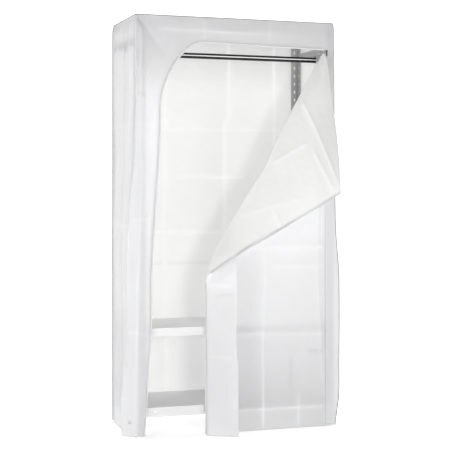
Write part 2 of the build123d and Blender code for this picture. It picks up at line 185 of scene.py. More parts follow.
def clothPiece(name, points, edge, out=1, paintedFoldLines=0.0, paintedShade=0.12):
    # a sheet over a grid: its UV map is the distance run along both ways, and Solidify gives it its wall
    rows, cols = points.shape[:2]
    run = stepLengths(points, 0)
    across = stepLengths(points, 1)
    uv = np.stack([across, run], axis=-1)
    # the shade mark is painted shade, 0.12 where none is given; the fold mark is painted highlights and shade
    # along folds
    marks = {
        "edge": edge, "run": run + across,
        "paintedFoldLine": np.broadcast_to(paintedFoldLines, (rows, cols)), "paintedShade": np.broadcast_to(paintedShade, (rows, cols)),
    }
    piece = meshPiece(name, points, gridFaces(rows, cols, out), [clothOutside, clothInside], uv, marks)
    ends = np.empty(len(piece.data.edges) * 2, np.int32)
    piece.data.edges.foreach_get("vertices", ends)
    row, col = np.divmod(ends.reshape(-1, 2), cols)
    rim = (row[:, 0] == row[:, 1]) & np.isin(row[:, 0], (0, rows - 1))
    rim |= (col[:, 0] == col[:, 1]) & np.isin(col[:, 0], (0, cols - 1))
    piece.data.attributes.new("sharp_edge", "BOOLEAN", "EDGE").data.foreach_set("value", rim)
    solid = piece.modifiers.new("wall", "SOLIDIFY")
    solid.thickness = clothLook["wall"]
    solid.offset = 0
    solid.material_offset = 1
    return piece


def tubePiece(name, path, radius, material, sides=8, closed=False):
    # a round profile carried along a path, each ring square to it; an open tube has flat ends
    if closed:
        way = unit(np.roll(path, -1, axis=0) - np.roll(path, 1, axis=0))
    else:
        way = unit(np.gradient(path, axis=0))
    deep = np.abs(way[:, 1:2]) > 0.9
    lean = np.where(deep, np.array([[1.0, 0, 0]]), np.array([[0, 1.0, 0]]))
    side = unit(np.cross(way, lean))
    up = np.cross(side, way)
    turn = np.arange(sides) * 2 * math.pi / sides
    ring = np.cos(turn)[None, :, None] * side[:, None] + np.sin(turn)[None, :, None] * up[:, None]
    points = path[:, None] + ring * radius
    count = len(path) * sides
    if closed:
        faces = gridFaces(len(path) + 1, sides, closed=True, out=-1) % count
        return meshPiece(name, points, faces, [material])
    faces = gridFaces(len(path), sides, closed=True, out=-1)
    caps = (np.arange(sides)[::-1], np.arange(count - sides, count))
    return meshPiece(name, points, faces, [material], caps=caps)


class Wire:
    # a socket that can be used in sums

    def __init__(self, shader, socket):
        self.shader = shader
        self.socket = socket

    def maths(self, operation, *others, clamp=False):
        values = dict(enumerate((self, *others)))
        return self.shader.node("ShaderNodeMath", {"operation": operation, "use_clamp": clamp}, values)

    def __add__(self, other):
        return self.maths("ADD", other)

    __radd__ = __add__

    def __sub__(self, other):
        return self.maths("SUBTRACT", other)

    def __rsub__(self, other):
        return self.shader.node("ShaderNodeMath", {"operation": "SUBTRACT"}, {0: other, 1: self})

    def __mul__(self, other):
        return self.maths("MULTIPLY", other)

    __rmul__ = __mul__

    def __truediv__(self, other):
        return self.maths("DIVIDE", other)

    def size(self):
        return self.maths("ABSOLUTE")

    def capped(self):
        return self.maths("ADD", 0.0, clamp=True)

    def ramp(self, low, high, start=0.0, end=1.0):
        settings = {"interpolation_type": "SMOOTHSTEP"}
        values = {"Value": self, "From Min": low, "From Max": high, "To Min": start, "To Max": end}
        return self.shader.node("ShaderNodeMapRange", settings, values)


class Shader:
    def __init__(self, name):
        self.material = bpy.data.materials.new(name)
        self.material.use_nodes = True
        self.tree = self.material.node_tree
        self.tree.nodes.clear()

    def node(self, kind, settings=None, values=None, out=0):
        made = self.tree.nodes.new(kind)
        for key, value in (settings or {}).items():
            setattr(made, key, value)
        for key, value in (values or {}).items():
            if isinstance(value, Wire):
                self.tree.links.new(value.socket, made.inputs[key])
            else:
                made.inputs[key].default_value = value
        return Wire(self, made.outputs[out])

    def place(self):
        return self.node("ShaderNodeTexCoord", out=3)

    def cloth(self):
        return self.node("ShaderNodeUVMap", {"uv_map": "cloth"})

    def mark(self, name):
        return self.node("ShaderNodeAttribute", {"attribute_name": name}, out=2)

    def axes(self, vector):
        split = self.node("ShaderNodeSeparateXYZ", values={"Vector": vector})
        outputs = split.socket.node.outputs
        return [Wire(self, socket) for socket in outputs]

    def noise(self, vector, scale, detail=3.0, rough=0.5):
        values = {"Vector": vector, "Scale": scale, "Detail": detail, "Roughness": rough}
        return self.node("ShaderNodeTexNoise", values=values)

    def stretched(self, vector, scale):
        return self.node("ShaderNodeMapping", values={"Vector": vector, "Scale": scale})

    def tint(self, factor, a, b):
        return self.node("ShaderNodeMix", {"data_type": "RGBA"}, {0: factor, 6: a, 7: b}, out=2)

    def bump(self, lift, distance, strength=1.0):
        values = {"Height": lift, "Distance": distance, "Strength": strength}
        return self.node("ShaderNodeBump", values=values)

    def finish(self, surface):
        output = self.tree.nodes.new("ShaderNodeOutputMaterial")
        self.tree.links.new(surface.socket, output.inputs["Surface"])
        return self.material


def grey(level, warm=0.0):
    return (level, level, level * (1 - 2 * warm), 1)


clothLook = {
    "wall": 0.0009, "dotPitch": 0.0016, "seeThrough": 0.58, "rough": 0.82,
    # distances in from the edge
    "edgeShadeIn": 0.0026, "stitchIn": 0.0062, "hemIn": 0.0092, "stitchPitch": 0.0032,
    # shares of the sheet's own level; the shade and the hollow are painted shade
    "thin": 0.965, "thick": 1.02, "hem": 1.04, "stitch": 0.8, "paintedShade": 0.6, "hollowShade": 0.72,
    # levels of their own: the painted highlight on crests and the painted shade line along the edges
    "crest": 0.985, "edgeShade": 0.45,
}


def makeCloth(name, level, warm):
    # spunbonded sheet: a lattice of bonded dots over cloudy fibre, a turned hem and a row of stitches;
    # the shade mark paints shade on it, the fold mark paints highlights on crests and shade in hollows, and a
    # painted shade line runs along its edges
    look = clothLook
    s = Shader(name)
    cloth = s.cloth()
    x, y, _ = s.axes(cloth)
    turns = 2 * math.pi / look["dotPitch"]
    dots = (x * turns).maths("SINE") * (y * turns).maths("SINE")
    cloud = s.noise(cloth, 38.0, 4.0, 0.6)
    broad = s.noise(cloth, 5.0, 2.0)
    fibre = s.noise(s.stretched(cloth, (1.0, 0.45, 1.0)), 1500.0, 2.0, 0.7)
    edge = s.mark("edge")
    run = s.mark("run")
    hem = edge.ramp(look["hemIn"] - 0.0004, look["hemIn"] + 0.0004, 1.0, 0.0)
    dash = ((run / look["stitchPitch"]).maths("FRACT") - 0.5).size().ramp(0.28, 0.36, 1.0, 0.0)
    line = (edge - look["stitchIn"]).size().ramp(0.0003, 0.0006, 1.0, 0.0)
    stitch = dash * line
    thin = (cloud - 0.5) * 0.9 + (broad - 0.5) * 0.5 + 0.5
    colour = s.tint(thin.capped(), grey(level * look["thin"], warm), grey(level * look["thick"], warm * 0.6))
    colour = s.tint(hem * 0.5, colour, grey(level * look["hem"], warm * 0.5))
    colour = s.tint(stitch, colour, grey(level * look["stitch"], warm))
    # painted shade: the sheet darkened as far as its shade mark goes
    colour = s.tint(s.mark("paintedShade").capped(), colour, grey(level * look["paintedShade"], warm))
    # painted highlights along crests and painted shade along hollows
    paintedFoldLine = s.mark("paintedFoldLine")
    colour = s.tint(paintedFoldLine.capped(), colour, grey(look["crest"]))
    colour = s.tint((paintedFoldLine * -1.0).capped(), colour, grey(level * look["hollowShade"], warm))
    # painted shade: a dark line along the sheet's edges
    edgeShade = edge.ramp(look["edgeShadeIn"], look["edgeShadeIn"] + 0.0006, 0.75, 0.0)
    colour = s.tint(edgeShade, colour, grey(look["edgeShade"]))
    lift = dots * 0.12 + fibre * 0.35 + cloud * 0.3 + hem * 0.8 - stitch * 1.2
    normal = s.bump(lift, 0.00025, 0.5)
    rough = (fibre * 0.14 + (look["rough"] - 0.07)).capped()
    values = {
        "Base Color": colour, "Roughness": rough, "Normal": normal,
        "Sheen Weight": 0.12, "Sheen Roughness": 0.45, "Specular IOR Level": 0.28,
    }
    solid = s.node("ShaderNodeBsdfPrincipled", values=values)
    thinSide = s.node("ShaderNodeBsdfTranslucent", values={"Color": grey(min(level * 1.03, 0.97), warm)})
    mixed = s.node("ShaderNodeMixShader", values={0: look["seeThrough"], 1: solid, 2: thinSide})
    return s.finish(mixed)


def makeTape(name, level):
    # woven tape: two sets of fine ribs that cross at an angle
    s = Shader(name)
    place = s.place()
    x, _, z = s.axes(place)
    rib = ((x + z) * (2 * math.pi / 0.0007)).maths("SINE")
    counterRib = ((x - z) * (2 * math.pi / 0.0009)).maths("SINE")
    cloud = s.noise(place, 60.0)
    colour = s.tint((rib * 0.25 + cloud).capped(), grey(level * 0.85), grey(level))
    weave = s.bump(rib * counterRib, 0.0002, 0.4)
    values = {"Base Color": colour, "Roughness": 0.7, "Normal": weave, "Sheen Weight": 0.2}
    return s.finish(s.node("ShaderNodeBsdfPrincipled", values=values))


def makePaint(name, level, rough, wear, metal=0.0, paintedTopLight=0.0):
    # baked powder paint: orange-peel skin, a cloudy level, scuffs, and painted light: a paler level on faces
    # that look up
    s = Shader(name)
    place = s.place()
    peel = s.noise(place, 900.0, 2.0, 0.4)
    dust = s.noise(place, 9.0, 5.0, 0.65)
    scuff = s.noise(s.stretched(place, (4.0, 60.0, 60.0)), 5.0, 3.0, 0.7).ramp(0.62, 0.7)
    colour = s.tint(dust, grey(level * 0.96), grey(level * 1.03))
    colour = s.tint(scuff * wear, colour, grey(level * 0.72))
    # painted light: faces that look up drawn paler, as where light falls on them
    up = s.axes(s.node("ShaderNodeNewGeometry", out=1))[2].ramp(0.5, 0.9)
    colour = s.tint(up * paintedTopLight, colour, grey(0.96))
    shine = (dust * 0.12 + scuff * 0.1 + (rough - 0.06)).capped()
    values = {"Base Color": colour, "Roughness": shine, "Metallic": metal,
              "Normal": s.bump(peel, 0.00012, 0.35), "Specular IOR Level": 0.5}
    return s.finish(s.node("ShaderNodeBsdfPrincipled", values=values))


def makeZinc(name, level):
    # zinc plate: crystal spangle, fine brushing, cloudy white bloom
    s = Shader(name)
    place = s.place()
    cells = s.node("ShaderNodeTexVoronoi", values={"Vector": place, "Scale": 260.0}, out=1)
    spangle = s.node("ShaderNodeRGBToBW", values={"Color": cells})
    brush = s.noise(s.stretched(place, (1.0, 1.0, 14.0)), 420.0, 2.0)
    bloom = s.noise(place, 45.0, 4.0, 0.7).ramp(0.5, 0.72)
    colour = s.tint((spangle * 0.6 + brush * 0.4).capped(), grey(level * 0.82), grey(level * 1.12))
    colour = s.tint(bloom * 0.35, colour, grey(level * 1.25))
    rough = (brush * 0.2 + bloom * 0.25 + 0.24).capped()
    values = {"Base Color": colour, "Roughness": rough, "Metallic": 0.9,
              "Normal": s.bump(brush, 0.00008, 0.4)}
    return s.finish(s.node("ShaderNodeBsdfPrincipled", values=values))


def makeRail(name):
    # black tube: a painted highlight, a bright band along the middle of its front drawn in its colour, and
    # small rubbed spots
    s = Shader(name)
    place = s.place()
    _, y, z = s.axes(place)
    low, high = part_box("hanging_rail")
    middleY, middleZ = (low[1] + high[1]) / 2, (low[2] + high[2]) / 2
    rub = s.noise(s.stretched(place, (300.0, 30.0, 30.0)), 1.0, 3.0, 0.7).ramp(0.58, 0.7)
    haze = s.noise(place, 22.0, 4.0)
    wave = (s.noise(s.stretched(place, (6.0, 0.0, 0.0)), 1.0) - 0.5) * 0.001
    # painted highlight: a bright band along the middle of the tube's front
    band = (z - middleZ + wave).size().ramp(0.0015, 0.0025, 1.0, 0.0)
    front = (y - middleY).ramp(-0.004, 0.0, 1.0, 0.0)
    paintedHighlight = band * front
    colour = s.tint(haze, grey(0.008), grey(0.015))
    colour = s.tint(paintedHighlight * 0.95, colour, grey(0.85))
    rough = (rub * 0.1 + paintedHighlight * 0.25 + haze * 0.05 + 0.16).capped()
    values = {"Base Color": colour, "Roughness": rough, "Metallic": 0.0, "Specular IOR Level": 0.35,
              "Normal": s.bump(rub, 0.00005, 0.2)}
    return s.finish(s.node("ShaderNodeBsdfPrincipled", values=values))


def makePlastic(name, level, rough):
    # moulded plastic: spark-eroded grain and a slightly uneven colour
    s = Shader(name)
    place = s.place()
    grain = s.noise(place, 1400.0, 2.0, 0.6)
    flow = s.noise(s.stretched(place, (1.0, 1.0, 3.0)), 30.0, 3.0)
    colour = s.tint(flow, grey(level * 0.93), grey(level * 1.05))
    shine = (grain * 0.15 + (rough - 0.07)).capped()
    values = {"Base Color": colour, "Roughness": shine, "Normal": s.bump(grain, 0.0001, 0.5)}
    return s.finish(s.node("ShaderNodeBsdfPrincipled", values=values))


def makeLacquer(name, level, metal):
    # die-cast metal under lacquer, rubbed through in small spots
    s = Shader(name)
    place = s.place()
    chip = s.noise(place, 700.0, 3.0, 0.7).ramp(0.66, 0.72)
    cloud = s.noise(place, 120.0, 2.0)
    colour = s.tint(cloud, grey(level * 0.85), grey(level * 1.15))
    colour = s.tint(chip * 0.6, colour, grey(0.45))
    rough = (cloud * 0.12 + chip * 0.15 + 0.25).capped()
    values = {"Base Color": colour, "Roughness": rough, "Metallic": metal, "Coat Weight": 0.3}
    return s.finish(s.node("ShaderNodeBsdfPrincipled", values=values))


clothOutside = makeCloth("clothOutside", 0.94, -0.009)
clothInside = makeCloth("clothInside", 0.94, 0.008)
tapeWhite = makeTape("tapeWhite", 0.78)
teethWhite = makePlastic("teethWhite", 0.62, 0.4)
# lit and shaded copies of one seam tape: the dark and grey ones are painted shade in the seams, the pale one
# a lit copy
seamShadeGrey = makeTape("seamShadeGrey", 0.3)
seamShadeDark = makeTape("seamShadeDark", 0.13)
seamLitPale = makeTape("seamLitPale", 0.8)
finishes = {
    "shelf_steel": makePaint("shelfPaint", 0.70, 0.5, 0.25, paintedTopLight=0.9),
    "upright_steel": makePaint("uprightPaint", 0.42, 0.36, 0.4, 0.35),
    "zinc_steel": makeZinc("zincPlate", 0.55),
    "rail_chrome": makeRail("blackChrome"),
    "black_plastic": makePlastic("plugPlastic", 0.03, 0.45),
    "foot_plastic": makePlastic("footPlastic", 0.84, 0.5),
    "zip_metal": makeLacquer("stopMetal", 0.55, 0.9),
    "slider_black": makeLacquer("sliderLacquer", 0.03, 0.3),
    "cover_cloth": clothOutside,
    "zip_tape": tapeWhite,
}
for name, piece in frame["nodes"].items():
    piece.data.materials.clear()
    piece.data.materials.append(finishes[slots[name]])
print("materials made")


cover = {
    "gap": 0.0060,            # middle of the cloth's wall, outside the frame
    "roof": 1.8008, "roofCorner": 0.014, "roofPull": 0.3, "roofSag": 0.007,
    "hemLeft": 0.012, "hemRight": 0.006,
    "hinge": 0.8625, "lintelRight": 1.684, "notch": 0.8795, "notchFoot": 1.671,
    "step": 0.007,
}
frontV = -cover["gap"]

# the front left seam wanders off the corner and round the side towards its foot
leftSeam = {
    "z": (0.012, 0.06, 0.134, 0.235, 0.392, 0.6, 0.76, 0.832, 1.005, 1.18, 1.3, 1.8),
    "u": (-0.055, -0.0575, -0.062, -0.056, -0.042, -0.041, -0.039, -0.036, -0.028, -0.011, -0.007, -0.006),
    "v": (0.044, 0.040, 0.026, 0.013, 0.012, 0.016, 0.017, 0.011, 0.000, -0.004, -0.006, -0.006),
}
# the front right seam swells out below the middle
rightSeam = {
    "z": (0.006, 0.06, 0.125, 0.3, 0.5, 0.7, 0.85, 1.1, 1.8),
    "u": (0.914, 0.919, 0.9255, 0.927, 0.928, 0.926, 0.916, 0.911, 0.906),
    "v": (-0.002, -0.006, -0.012, -0.014, -0.015, -0.013, -0.008, -0.0065, -0.006),
}
# inner edge of the left strip, and the arch over the opening
stripEdge = {
    "z": (0.012, 0.129, 0.287, 0.444, 0.707, 0.963, 1.18, 1.308, 1.41),
    "u": (0.028, 0.038, 0.0447, 0.057, 0.0605, 0.0755, 0.091, 0.0975, 0.099),
}
archPulls = ((0.099, 1.41), (0.099, 1.525), (0.202, 1.696), (0.294, 1.696))
# crease that runs down beside the hinge line
hingeCrease = {
    "z": (0.0, 0.21, 0.344, 0.523, 0.79, 0.99, 1.2),
    "u": (0.870, 0.853, 0.839, 0.829, 0.822, 0.824, 0.83),
    "lift": 0.0075, "fromU": 0.5, "fadeFrom": 0.95, "fadeOver": 0.4,
}


def seamAt(seam, z):
    return through(seam["z"], seam["u"], z), through(seam["z"], seam["v"], z)


def cornerPull(z):
    # how far a vertical seam leans in to meet the roof's rounded corner
    return cover["roofCorner"] * cover["roofPull"] * smooth((z - cover["roof"] + 0.03) / 0.03)


def frontBulge(u, z):
    # the plane of the front, with a long crest beside the hinge line below the turned-over corner
    crest = through(hingeCrease["z"], hingeCrease["u"], z)
    left, right = hingeCrease["fromU"], width + cover["gap"]
    rise = np.where(u < crest, (u - left) / (crest - left), (right - u) / (right - crest))
    window = smooth(z / 0.05) * (0.6 + 0.4 * smooth(z / 0.5))
    window = window * (1 - smooth((z - hingeCrease["fadeFrom"]) / hingeCrease["fadeOver"]))
    return frontV - hingeCrease["lift"] * window * smooth(np.clip(rise, 0, 1) * 0.9 + 0.02) * 1.06


def openingEdge():
    # up the left strip, round the arch, along the lintel, down the notch and the hinge line
    z = np.linspace(cover["hemLeft"], archPulls[0][1], int(archPulls[0][1] / cover["step"]))
    strip = np.stack([through(stripEdge["z"], stripEdge["u"], z), z], axis=1)
    t = np.linspace(0, 1, 60)[1:, None]
    a, b, c, d = (np.array(p) for p in archPulls)
    arch = (1 - t) ** 3 * a + 3 * t * (1 - t) ** 2 * b + 3 * t**2 * (1 - t) * c + t**3 * d
    notchTop, notchFoot = (cover["notch"], cover["lintelRight"]), (cover["notch"], cover["notchFoot"])
    lintel = np.linspace(archPulls[3], notchTop, 100)[1:]
    notch = np.linspace(notchTop, notchFoot, 4)[1:]
    ledge = np.linspace(notchFoot, (cover["hinge"], cover["notchFoot"]), 4)[1:]
    z = np.linspace(cover["notchFoot"], cover["hemRight"], int(cover["notchFoot"] / cover["step"]))[1:]
    right = np.stack([np.full_like(z, cover["hinge"]), z], axis=1)
    return [strip, arch, lintel, np.concatenate([notch, ledge]), right]


def roofEdgeV(u):
    # the roof's front edge in plan, with its rounded corners
    r = cover["roofCorner"]
    gap = cover["gap"]
    past = np.clip(np.maximum(r - gap - u, u - (width + gap - r)) / r, 0, 1)
    return -gap + r * (1 - np.sqrt(1 - past**2 * 0.97))


def alongSeam(seam, sign, z):
    # points up a front seam, drawn in under the roof's rounded corner; the sign is 1 on the right
    u, v = seamAt(seam, z)
    pull = cornerPull(z)
    return np.stack([u - sign * pull, v + pull, z], axis=1)


def alongRoof(u):
    # points along the roof's front edge
    return np.stack([u, roofEdgeV(u), np.full_like(u, cover["roof"])], axis=1)


# how the opening's edge is matched to the border: the strip's climb, then where the arch turns the corner
border = {"climb": 0.06, "climbFrom": 1.0, "climbOver": 0.41, "turn": 0.5, "pastArch": 0.02, "endIn": 0.03}


def outerBorder():
    # the matching points on the seams and the roof's edge, for each stretch of the opening's edge
    strip, arch, lintel, notch, right = openingEdge()
    top = cover["roof"]
    z = strip[:, 1] + border["climb"] * smooth((strip[:, 1] - border["climbFrom"]) / border["climbOver"])
    strip3 = alongSeam(leftSeam, -1, z)
    t = np.arange(1, len(arch) + 1) / len(arch)
    side = alongSeam(leftSeam, -1, strip3[-1, 2] + (top - strip3[-1, 2]) * np.clip(t / border["turn"], 0, 1))
    share = np.clip((t - border["turn"]) / (1 - border["turn"]), 0, 1)
    across = alongRoof(side[-1, 0] + (arch[-1, 0] + border["pastArch"] - side[-1, 0]) * share)
    arch3 = np.where(t[:, None] <= border["turn"], side, across)
    last = width - border["endIn"]
    lintel3 = alongRoof(np.linspace(arch3[-1, 0], last, len(lintel) + 1)[1:])
    end = width + cover["gap"] - cover["roofCorner"] * cover["roofPull"]
    notch3 = alongRoof(np.linspace(last, end, len(notch) + 1)[1:])
    t = np.arange(1, len(right) + 1) / len(right)
    right3 = alongSeam(rightSeam, 1, top + (cover["hemRight"] - top) * t)
    return strip3, arch3, lintel3, notch3, right3


def bentAcross(start, bend, end, cols, soften):
    # from start to end by way of a bend, the corner rounded by averaging over a window
    b = np.linspace(0, 1, cols)[None, :, None]
    first = np.linalg.norm(bend - start, axis=1)[:, None, None]
    second = np.linalg.norm(end - bend, axis=1)[:, None, None]
    knee = np.clip(first / (first + second + 1e-9), 0.02, 0.98)
    window = np.minimum(np.minimum(b, 1 - b), soften)
    total = 0
    steps = np.linspace(-1, 1, 9)
    for k in steps:
        place = b + k * window
        before = start[:, None] + (bend - start)[:, None] * np.clip(place / knee, 0, 1)
        after = (end - bend)[:, None] * np.clip((place - knee) / (1 - knee), 0, 1)
        total = total + before + after
    return total / len(steps)


# folds left from packing and slack: from (across, z) to (across, z), then crest and reach
frontCreases = [
    (-0.01, 1.80, 0.10, 1.66, -0.0053, 0.03), (0.30, 1.80, 0.30, 1.70, 0.0018, 0.03),
    (0.60, 1.80, 0.60, 1.69, 0.0021, 0.04), (0.10, 1.745, 0.55, 1.738, 0.0021, 0.03),
    (0.0, 1.34, 0.10, 1.33, 0.0024, 0.03), (-0.04, 0.93, 0.07, 0.94, 0.0033, 0.04),
    (-0.05, 0.46, 0.05, 0.44, 0.003, 0.03), (0.015, 1.75, 0.012, 1.2, 0.0033, 0.018),
    (0.02, 1.2, 0.0, 0.6, 0.0042, 0.02), (0.0, 0.6, -0.012, 0.02, 0.003, 0.018),
]
sideCreases = [
    (0.10, 1.78, 0.10, 0.4, 0.0052, 0.03), (0.20, 1.80, 0.205, 0.02, -0.0052, 0.04),
    (0.30, 1.78, 0.30, 0.02, 0.0039, 0.03), (0.0, 1.34, 0.4, 1.34, 0.0021, 0.03),
    (0.0, 0.9, 0.4, 0.9, 0.0029, 0.04), (0.0, 0.45, 0.4, 0.45, 0.0026, 0.04),
    (0.13, 1.72, 0.22, 1.64, -0.0039, 0.010),
]
backCreases = [
    (0.552, 1.78, 0.552, 1.38, 0.0053, 0.03), (0.533, 1.38, 0.533, 0.60, 0.0067, 0.035),
    (0.24, 1.75, 0.24, 0.02, 0.0045, 0.04), (0.30, 1.12, 0.62, 1.115, 0.0045, 0.03),
    (0.0, 1.34, 0.9, 1.34, 0.0023, 0.04), (0.0, 0.865, 0.60, 0.855, 0.0075, 0.035),
    (0.0, 0.72, 0.9, 0.72, -0.003, 0.04), (0.247, 0.45, 0.247, 0.02, 0.0053, 0.012),
    (0.78, 1.78, 0.78, 0.02, 0.0045, 0.04), (0.0, 0.44, 0.9, 0.44, -0.003, 0.05),
]
doorCreases = [
    (0.45, 0.811, 0.86, 0.808, 0.009, 0.035), (0.62, 0.722, 0.86, 0.720, 0.0033, 0.02),
    (0.43, 0.430, 0.86, 0.421, 0.0075, 0.04), (0.782, 0.347, 0.86, 0.342, -0.0053, 0.012),
    (0.40, 0.100, 0.87, 0.097, 0.006, 0.035), (0.578, 0.70, 0.572, 0.46, 0.0045, 0.014),
    (0.566, 0.46, 0.566, 0.02, 0.0051, 0.02), (0.700, 0.32, 0.700, 0.20, -0.0039, 0.012),
    (0.734, 0.16, 0.732, 0.02, 0.0036, 0.014), (0.56, 0.95, 0.578, 0.70, 0.0036, 0.02),
]
cornerCreases = [
    (0.735, 1.47, 0.897, 1.055, 0.0098, 0.012), (0.565, 1.155, 0.755, 1.262, 0.007, 0.016),
    (0.783, 1.225, 0.868, 1.044, 0.0056, 0.009), (0.592, 0.965, 0.634, 0.884, 0.0042, 0.012),
    (0.46, 0.95, 0.72, 1.02, 0.0031, 0.03),
]
pleatCreases = [
    (0.02, 0.655, 0.13, 0.648, 0.003, 0.012), (0.03, 0.60, 0.11, 0.615, -0.002, 0.012),
    (0.0, 0.345, 0.14, 0.335, 0.0022, 0.03), (0.115, 0.34, 0.12, 0.05, 0.0016, 0.008),
]
roofCreases = [
    (0.30, 0, 0.30, 0.4, 0.003, 0.03), (0.60, 0, 0.60, 0.4, 0.003, 0.03), (0, 0.2, 0.9, 0.2, 0.003, 0.03),
]


front = {
    "cols": 24, "soften": 0.12, "bendIn": 0.06,
    "bendU": -0.004, "bendV": -0.0078, "offSeam": 0.002,    # where the left strip turns the corner
    "rightPast": 0.008, "rightV": -0.0075,                  # where the right strip turns it
    "innerFade": 0.02, "outerFade": 0.012,
}


def frontSurround():
    # one grid round the opening: rows follow its edge, columns run out to the seams and the roof
    inner = openingEdge()
    flat = np.concatenate(inner)
    start = np.stack([flat[:, 0], frontBulge(flat[:, 0], flat[:, 1]), flat[:, 1]], axis=1)
    end = np.concatenate(outerBorder())
    bend = end + (start - end) * front["bendIn"]
    bend[:, 1] = start[:, 1]
    turned = len(inner[0])
    bend[:turned, 0] = np.maximum(end[:turned, 0] + front["offSeam"], front["bendU"])
    bend[:turned, 1] = front["bendV"]
    bend[:turned, 2] = end[:turned, 2]
    first = len(flat) - len(inner[4])
    bend[first:, 0] = width + front["rightPast"]
    bend[first:, 1] = front["rightV"]
    bend[first:, 2] = end[first:, 2]
    points = bentAcross(start, bend, end, front["cols"], front["soften"])
    edge = stepLengths(points, 1)
    u, z = points[..., 0], points[..., 2]
    keep = smooth(edge / front["innerFade"]) * smooth((edge[:, -1:] - edge) / front["outerFade"])
    lift = creases(u, z, frontCreases) + ripple(u, z, 0.16, 0.0009, 3) + ripple(u, z, 0.05, 0.0003, 4)
    world = raised(points, lift * keep, 1)
    hem = np.minimum(edge, np.abs(z - cover["hemLeft"]))
    # painted highlights and shade along the folds
    paintedFoldLines = foldHighlightsAndShade(u, z, frontCreases) * keep
    # painted shade: the lintel darker towards the roof, the right strip lighter, and the left strip lighter
    # about 1.3 m up
    paintedShade = 0.2 - 0.1 * (u > 0.85) + 0.42 * smooth((z - 1.42) / 0.24)
    paintedShade = paintedShade - 0.12 * hump(z, 1.3, 0.2) * (u < 0.2)
    cuts = [0, turned + len(inner[1]) // 2, first, len(flat)]
    names = ("frontStripLeft", "frontLintel", "frontStripRight")
    pieces = []
    for name, a, b in zip(names, cuts, cuts[1:]):
        a = max(a - 1, 0)
        pieces.append(clothPiece(name, world[a:b], hem[a:b], 1, paintedFoldLines[a:b], paintedShade[a:b]))
    return pieces


stripLeft, lintel, stripRight = frontSurround()
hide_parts("cover_front")
for piece in (stripLeft, lintel, stripRight):
    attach(piece, "frame")
print("front surround made")


def backSeam(side, z):
    # the back corners, pulled in under the roof's rounded corners
    pull = cornerPull(z)
    v = np.full_like(z, depth + cover["gap"]) - pull
    u = -cover["gap"] + pull if side < 0 else width + cover["gap"] - pull
    return u, v


sides = {
    "cols": 56, "fade": 0.06, "roofFade": 0.05,
    "sinkFrom": 0.2, "sinkOver": 0.9, "leftSink": 0.012, "rightSink": 0.002,
}


def sideCloth(name, seam, sign, hem, sink, out):
    # straight lines from the front seam to the back one, drawn in between them towards the foot
    z = np.linspace(hem, cover["roof"], int(height / cover["step"]))
    seamLine = alongSeam(seam, sign, z)
    backLine = np.stack([*backSeam(sign, z), z], axis=1)
    c = np.linspace(0, 1, sides["cols"])[None, :, None]
    points = seamLine[:, None] * (1 - c) + backLine[:, None] * c
    v, z = points[..., 1], points[..., 2]
    across = c[..., 0]
    low = 1 - smooth((z - sides["sinkFrom"]) / sides["sinkOver"])
    points[..., 0] -= sign * sink * low * np.sin(math.pi * across**0.7)
    keep = smooth(across / sides["fade"]) * smooth((1 - across) / sides["fade"])
    keep = keep * smooth((cover["roof"] - z) / sides["roofFade"])
    lift = creases(v, z, sideCreases) + ripple(v, z, 0.3, 0.0022, 11) + ripple(v, z, 0.07, 0.0004, 12)
    # painted highlights and shade along the folds, and painted shade a little darker above the middle
    paintedFoldLines = foldHighlightsAndShade(v, z, sideCreases) * keep
    paintedShade = 0.05 * smooth((z - 0.6) / 0.6)
    piece = clothPiece(name, raised(points, lift * keep, out), np.abs(z - hem), out, paintedFoldLines, paintedShade)
    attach(piece, "frame")
    return piece


backShape = {"cols": 118, "fade": 0.04, "roofFade": 0.05, "deepest": -0.003}


def backCloth():
    # straight lines from one back corner to the other, with the folds and ripples raised on them
    z = np.linspace(cover["hemLeft"], cover["roof"], int(height / cover["step"]))
    left = np.stack([*backSeam(-1, z), z], axis=1)
    right = np.stack([*backSeam(1, z), z], axis=1)
    c = np.linspace(0, 1, backShape["cols"])[None, :, None]
    points = left[:, None] * (1 - c) + right[:, None] * c
    u, z = points[..., 0], points[..., 2]
    across = c[..., 0]
    keep = smooth(across / backShape["fade"]) * smooth((1 - across) / backShape["fade"])
    keep = keep * smooth((cover["roof"] - z) / backShape["roofFade"])
    lift = creases(u, z, backCreases) + ripple(u, z * 0.5, 0.22, 0.0024, 21) + ripple(u, z, 0.06, 0.0005, 22)
    world = raised(points, np.maximum(lift, backShape["deepest"]) * keep, 1)
    # painted shade: darker near the roof, lighter low down, and darker towards the right, where the
    # turned-over corner casts its shadow
    paintedShade = 0.16 + 0.5 * smooth((z - 1.5) / 0.16) - 0.16 * smooth((1.05 - z) / 0.4)
    paintedShade = paintedShade + 0.1 * smooth((u - 0.35) / 0.15) * smooth((z - 0.7) / 0.3)
    # painted highlights and shade along the folds
    paintedFoldLines = foldHighlightsAndShade(u, z, backCreases) * keep
    piece = clothPiece("backCloth", world, np.abs(z - cover["hemLeft"]), 1, paintedFoldLines, paintedShade)
    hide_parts("cover_back")
    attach(piece, "frame")
    return piece


def roofOutline(u, v):
    # squares the corners of a rectangle off to quarter circles, keeping the sides where they are
    r = cover["roofCorner"]
    halfU, halfV = width / 2 + cover["gap"], depth / 2 + cover["gap"]
    x, y = u - width / 2, v - depth / 2
    pastX = np.maximum(np.abs(x) - (halfU - r), 0)
    pastY = np.maximum(np.abs(y) - (halfV - r), 0)
    both = np.hypot(pastX, pastY)
    scale = np.where(both > 0, np.maximum(pastX, pastY) / np.maximum(both, 1e-9), 1)
    x = np.sign(x) * (np.abs(x) - pastX * (1 - scale))
    y = np.sign(y) * (np.abs(y) - pastY * (1 - scale))
    return x + width / 2, y + depth / 2


roofShape = {"cols": 60, "rows": 130, "fadeU": 0.05, "fadeV": 0.1}


